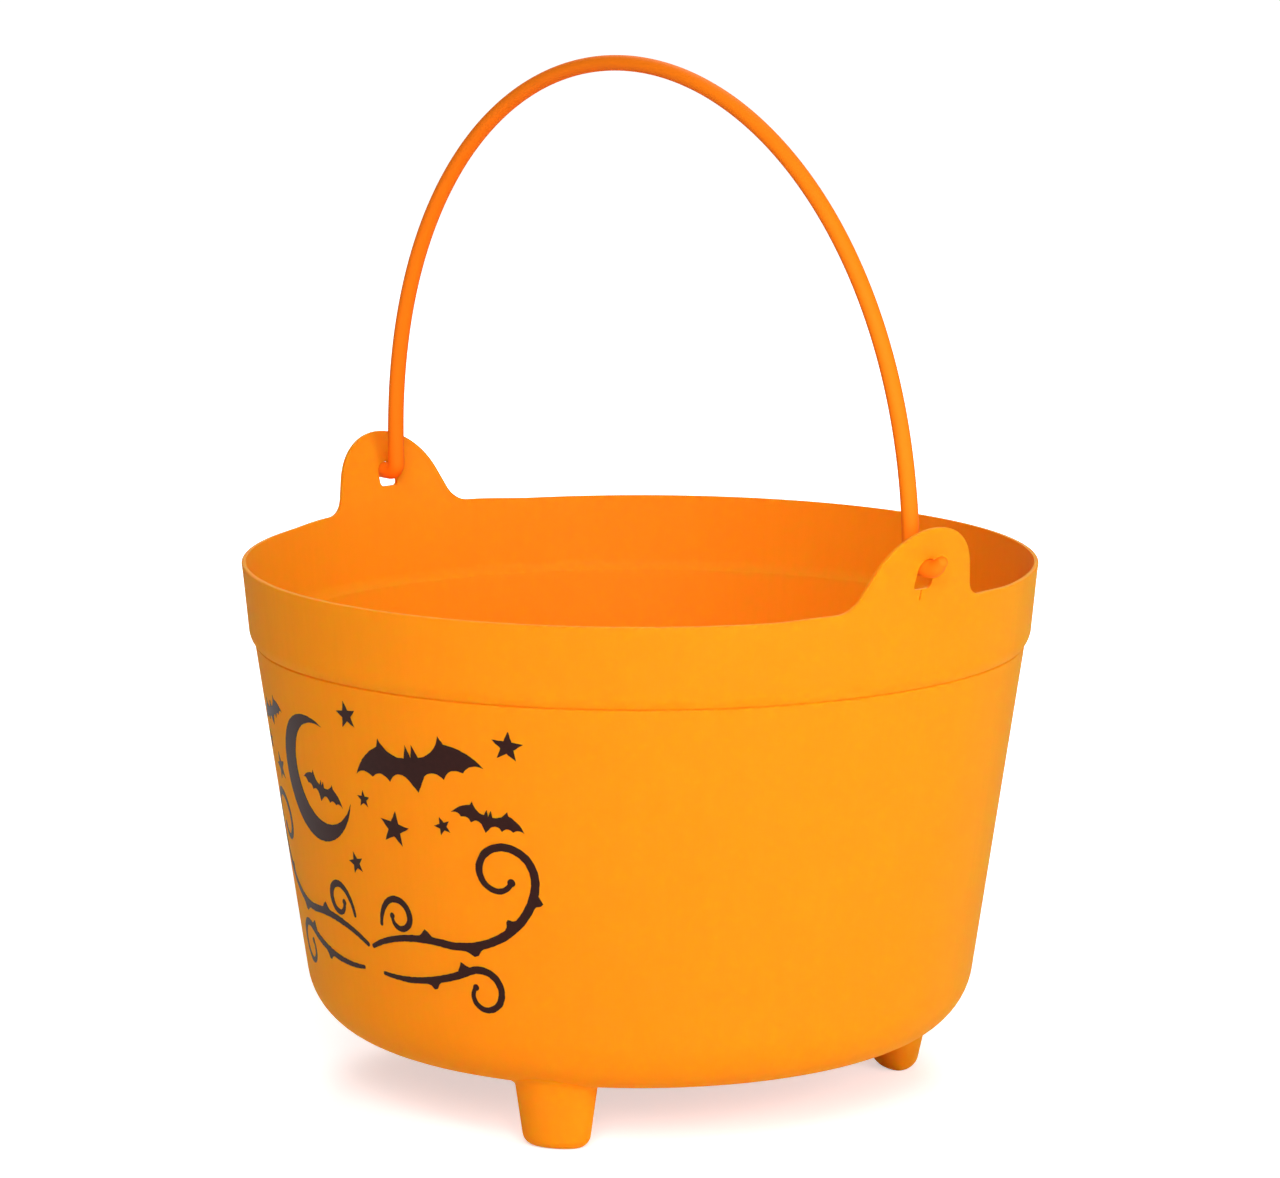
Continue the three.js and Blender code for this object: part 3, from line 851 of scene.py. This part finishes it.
def scroll(start, heading, runs, width, thorns):
    """Vine that swells and ends in a ball. A thorn is its place along the vine and its side."""
    path = scroll_path(start, heading, runs)
    total = len(path) - 1
    left, right = [], []
    for i, (point, angle) in enumerate(path):
        wave = math.sin(math.pi * (VINE_WAVE_START + VINE_WAVE * i / total))
        half = width * (VINE_HALF + VINE_SWELL * wave)
        side = Vector((-math.sin(angle), math.cos(angle)))
        spikes = [THORN_HEIGHT * max(0.0, 1 - abs(i - place * total) / THORN_HALF) * way
                  for place, way in thorns]
        left.append(point + side * (half + max(0.0, sum(spikes))))
        right.append(point - side * (half - min(0.0, sum(spikes))))
    end, heading = path[-1]
    half = (left[-1] - end).length
    ball = VINE_BALL * half
    swing = math.asin(half / ball)
    centre = end + Vector((math.cos(heading), math.sin(heading))) * ball * math.cos(swing)
    knob = arc(centre, ball, heading + math.pi - swing, heading - math.pi + swing, BALL_STEPS)
    start, heading = path[0]
    tip = arc(start, (left[0] - start).length, heading - UP, heading - 3 * UP, VINE_TIP_STEPS)
    return left + knob[1:-1] + right[::-1] + tip[1:-1]


def decoration(line):
    """Outlines of the whole print for vines of a width."""
    outlines = [crescent(*MOON), *(bat(*place) for place in BATS), *(star(*place) for place in STARS)]
    for side in (1, -1):
        for start, heading, runs, share, thorns in VINES:
            vine = scroll(start, heading, runs, share * line, thorns)
            outlines.append([Vector((side * point.x, point.y)) for point in vine])
    return outlines


def ragged(outline, depth):
    """The outline with more points, set off by a fine unevenness."""
    points = []
    for start, end in zip(outline, outline[1:] + outline[:1]):
        count = max(1, round((end - start).length / INK_GRAIN))
        points += [start.lerp(end, i / count) for i in range(count)]
    out = []
    for point in points:
        place = Vector((point.x, point.y, 0)) / INK_WAVE
        shift = noise.noise_vector(place)
        out.append(point + Vector((shift.x, shift.y)) * depth)
    return out


class CAULDRON_OT_print(bpy.types.Operator):
    """Print a moon, bats and stars over thorny vines on the belly, in one dark ink"""

    bl_idname = "cauldron.print"
    bl_label = "Print"
    bl_options = {"REGISTER", "UNDO"}

    def execute(self, context):
        sizes = context.scene.cauldron_print
        section = Section(context.scene.cauldron_bucket)
        bm = bmesh.new()
        noise.seed_set(INK_SEED)
        for outline in decoration(sizes.line / MM):
            verts = [bm.verts.new((x * MM, 0, z * MM)) for x, z in ragged(outline, sizes.ragged / MM)]
            edges = [bm.edges.new(pair) for pair in zip(verts, verts[1:] + verts[:1])]
            bmesh.ops.triangle_fill(bm, edges=edges, use_beauty=True, use_dissolve=False, normal=(0, -1, 0))
        reach = max(abs(vert.co.x) for vert in bm.verts)
        columns = math.ceil(reach / sizes.column)
        for i in range(-columns, columns + 1):
            bmesh.ops.bisect_plane(bm, geom=bm.verts[:] + bm.edges[:] + bm.faces[:], dist=WELD / 10,
                                   plane_co=(i * sizes.column, 0, 0), plane_no=(1, 0, 0))
        grown = bmesh.ops.extrude_face_region(bm, geom=bm.faces[:])
        bmesh.ops.translate(bm, verts=points_of(grown), vec=(0, -1, 0))
        middle_radius = section.belly_radius(sizes.middle_z)
        lean = context.scene.cauldron_bucket.belly_draft
        for vert in bm.verts:
            across, top, up = vert.co
            z = sizes.middle_z + up * math.cos(lean)
            radius = section.belly_radius(z) + (sizes.film if top < 0 else -sizes.film)
            angle = across / middle_radius
            vert.co = (radius * math.sin(angle), -radius * math.cos(angle), z)
        bmesh.ops.recalc_face_normals(bm, faces=bm.faces)
        piece = to_object("printed_decoration", bm)
        smooth(piece)
        piece.data.materials.append(printing_ink(context.scene.cauldron_finish.ink))
        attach(piece, "bucket")
        return {"FINISHED"}


def add_node(tree, kind, settings=None, links=None):
    """Adds a node, sets its properties or sockets, and links its inputs from other sockets."""
    node = tree.nodes.new(kind)
    for key, value in (settings or {}).items():
        if isinstance(key, str) and hasattr(node, key):
            setattr(node, key, value)
        else:
            node.inputs[key].default_value = value
    for key, source in (links or {}).items():
        tree.links.new(source, node.inputs[key])
    return node


def new_material(name):
    """Empty node material and its output node."""
    material = bpy.data.materials.new(name)
    material.use_nodes = True
    material.node_tree.nodes.clear()
    return material, material.node_tree, add_node(material.node_tree, "ShaderNodeOutputMaterial")


def moulded_polypropylene(base, seep, relief, sheen):
    """Satin moulded polypropylene with faint streaks of the melt's flow and specks of dust from the mould.

    Where light seeps in, red spreads in it and passes the thin wall, so that shade glows red.
    """
    material, tree, output = new_material("injection_moulded_polypropylene")
    place = add_node(tree, "ShaderNodeTexCoord")
    stretch = (1 / STREAK_WIDTH, 1 / STREAK_WIDTH, 1 / STREAK_LENGTH)
    upwards = add_node(tree, "ShaderNodeMapping", {"Scale": stretch}, {"Vector": place.outputs["Object"]})
    streaks = add_node(tree, "ShaderNodeTexNoise", {"Scale": 1.0, "Detail": 3.0, "Roughness": 0.6},
                       {"Vector": upwards.outputs["Vector"]})
    tone = add_node(tree, "ShaderNodeMix", {
        "data_type": "RGBA", 6: (*(STREAK_TONE * c for c in base), 1), 7: (*base, 1),
    }, {0: streaks.outputs["Fac"]})
    cells = add_node(tree, "ShaderNodeTexVoronoi", {"Scale": 1 / SPECK_DISTANCE},
                     {"Vector": place.outputs["Object"]})
    specks = add_node(tree, "ShaderNodeMapRange", {
        "From Min": 0.0, "From Max": SPECK_RADIUS / SPECK_DISTANCE, "To Min": 1.0, "To Max": 0.0},
        {"Value": cells.outputs["Distance"]})
    height = add_node(tree, "ShaderNodeMath", {"operation": "MULTIPLY_ADD", 1: SPECK_HEIGHT},
                      {0: specks.outputs["Result"], 2: streaks.outputs["Fac"]})
    bump = add_node(tree, "ShaderNodeBump", {"Strength": 1.0, "Distance": relief},
                    {"Height": height.outputs[0]})
    shader = add_node(tree, "ShaderNodeBsdfPrincipled", {
        "Roughness": 0.65, "IOR": 1.49, "Specular IOR Level": sheen,
        "Subsurface Weight": seep, "Subsurface Radius": SPREAD, "Subsurface Scale": SPREAD_REACH,
    }, {"Base Color": tone.outputs[2], "Normal": bump.outputs["Normal"]})
    tree.links.new(shader.outputs["BSDF"], output.inputs["Surface"])
    return material


def printing_ink(base):
    """Pad-printing ink on plastic: a thin dark film, a little mottled."""
    material, tree, output = new_material("pad_printing_ink")
    place = add_node(tree, "ShaderNodeTexCoord")
    millimetres = add_node(tree, "ShaderNodeMapping", {"Scale": (1 / MM, 1 / MM, 1 / MM)},
                           {"Vector": place.outputs["Object"]})
    mottle = add_node(tree, "ShaderNodeTexNoise", {"Scale": 1 / MOTTLE_SIZE, "Detail": 3.0},
                      {"Vector": millimetres.outputs["Vector"]})
    tone = add_node(tree, "ShaderNodeMix", {
        "data_type": "RGBA", 6: (*base, 1), 7: (*(MOTTLE_TONE * c for c in base), 1),
    }, {0: mottle.outputs["Fac"]})
    shader = add_node(tree, "ShaderNodeBsdfPrincipled", {
        "Roughness": 0.5, "IOR": 1.5, "Specular IOR Level": INK_SHEEN}, {"Base Color": tone.outputs[2]})
    tree.links.new(shader.outputs["BSDF"], output.inputs["Surface"])
    return material


def background_rays(tree):
    """1 for rays that show the background: the camera's, and those off a gloss or through glass."""
    ray = add_node(tree, "ShaderNodeLightPath")
    mirrored = add_node(tree, "ShaderNodeMath", {"operation": "MAXIMUM"},
                        {0: ray.outputs["Is Glossy Ray"], 1: ray.outputs["Is Transmission Ray"]})
    seen = add_node(tree, "ShaderNodeMath", {"operation": "MAXIMUM"},
                    {0: ray.outputs["Is Camera Ray"], 1: mirrored.outputs[0]})
    return seen.outputs[0]


def studio_floor(base):
    """Matt white paper that glows to the camera, more so far off, and that keeps the bucket's shadow."""
    material, tree, output = new_material("matt_studio_paper")
    paper = add_node(tree, "ShaderNodeBsdfDiffuse", {"Color": (*base, 1)})
    place = add_node(tree, "ShaderNodeTexCoord")
    away = add_node(tree, "ShaderNodeVectorMath", {"operation": "LENGTH"}, {0: place.outputs["Object"]})
    glow = add_node(tree, "ShaderNodeMapRange", {
        "From Min": GLOW_START, "From Max": GLOW_END, "To Min": GLOW_NEAR, "To Max": GLOW_FAR,
    }, {"Value": away.outputs["Value"]})
    strength = add_node(tree, "ShaderNodeMath", {"operation": "MULTIPLY"},
                        {0: background_rays(tree), 1: glow.outputs["Result"]})
    white = add_node(tree, "ShaderNodeEmission", {"Color": (1, 1, 1, 1)}, {"Strength": strength.outputs[0]})
    both = add_node(tree, "ShaderNodeAddShader", {}, {0: paper.outputs["BSDF"], 1: white.outputs["Emission"]})
    tree.links.new(both.outputs["Shader"], output.inputs["Surface"])
    return material


def aimed(name, data, azimuth, elevation, distance):
    """Object aimed at the camera's target, at angles in degrees off the printed front and the floor."""
    around, climb = math.radians(azimuth), math.radians(elevation)
    away = Vector((math.sin(around) * math.cos(climb), -math.cos(around) * math.cos(climb), math.sin(climb)))
    piece = bpy.data.objects.new(name, data)
    piece.location = CAMERA_TARGET + away * distance
    piece.rotation_euler = away.to_track_quat("Z", "Y").to_euler()
    bpy.context.scene.collection.objects.link(piece)
    return piece


class CAULDRON_OT_stage(bpy.types.Operator):
    """Set up the studio: floor, soft lamps, white surroundings and camera"""

    bl_idname = "cauldron.stage"
    bl_label = "Studio"
    bl_options = {"REGISTER", "UNDO"}

    def execute(self, context):
        scene = context.scene
        bm = bmesh.new()
        bmesh.ops.create_grid(bm, x_segments=1, y_segments=1, size=FLOOR_HALF)
        floor = to_object("studio_floor", bm)
        floor.data.materials.append(studio_floor(scene.cauldron_finish.floor))
        world = bpy.data.worlds.new("white_surroundings")
        world.use_nodes = True
        tree = world.node_tree
        tree.nodes.clear()
        around, seen = (add_node(tree, "ShaderNodeBackground", {"Color": (1, 1, 1, 1), "Strength": strength})
                        for strength in (SURROUND_LIGHT, 1.0))
        mix = add_node(tree, "ShaderNodeMixShader", {}, {
            0: background_rays(tree), 1: around.outputs[0], 2: seen.outputs[0]})
        output = add_node(tree, "ShaderNodeOutputWorld")
        tree.links.new(mix.outputs["Shader"], output.inputs["Surface"])
        scene.world = world
        for name, (azimuth, elevation, watts) in SOFTBOXES.items():
            lamp = bpy.data.lights.new(name, "AREA")
            lamp.shape = "RECTANGLE"
            lamp.size = lamp.size_y = SOFTBOX_SIZE
            lamp.energy = watts
            aimed(name, lamp, azimuth, elevation, SOFTBOX_DISTANCE)
        camera = bpy.data.cameras.new("camera")
        camera.lens = CAMERA_LENS
        camera.sensor_width = CAMERA_SENSOR
        camera.clip_end = CAMERA_SIGHT
        scene.camera = aimed("camera", camera, CAMERA_AZIMUTH, CAMERA_ELEVATION, CAMERA_DISTANCE)
        scene.view_settings.view_transform = "Standard"
        return {"FINISHED"}


OPERATORS = (CAULDRON_OT_bucket, CAULDRON_OT_print, CAULDRON_OT_bail, CAULDRON_OT_stage)
GROUPS = {"cauldron_bucket": BucketSizes, "cauldron_bail": BailSizes, "cauldron_print": PrintSizes,
          "cauldron_finish": Finish}


class CAULDRON_PT_panel(bpy.types.Panel):
    """Panel with the cauldron's pieces and sizes"""

    bl_label = "Witch Cauldron"
    bl_idname = "CAULDRON_PT_panel"
    bl_space_type = "VIEW_3D"
    bl_region_type = "UI"
    bl_category = "Cauldron"

    def draw(self, context):
        for operator in OPERATORS:
            self.layout.operator(operator.bl_idname)
        for name, group in GROUPS.items():
            box = self.layout.box()
            box.label(text=group.__doc__)
            for key in group.__annotations__:
                box.prop(getattr(context.scene, name), key)


CLASSES = (*GROUPS.values(), *OPERATORS, CAULDRON_PT_panel)


def register():
    for item in CLASSES:
        bpy.utils.register_class(item)
    for name, group in GROUPS.items():
        setattr(bpy.types.Scene, name, PointerProperty(type=group))


def unregister():
    for name in GROUPS:
        delattr(bpy.types.Scene, name)
    for item in reversed(CLASSES):
        bpy.utils.unregister_class(item)


def main():
    """Builds the whole scene."""
    register()
    bpy.ops.cauldron.bucket()
    bpy.ops.cauldron.print()
    bpy.ops.cauldron.bail()
    bpy.ops.cauldron.stage()


if __name__ == "__main__":
    main()
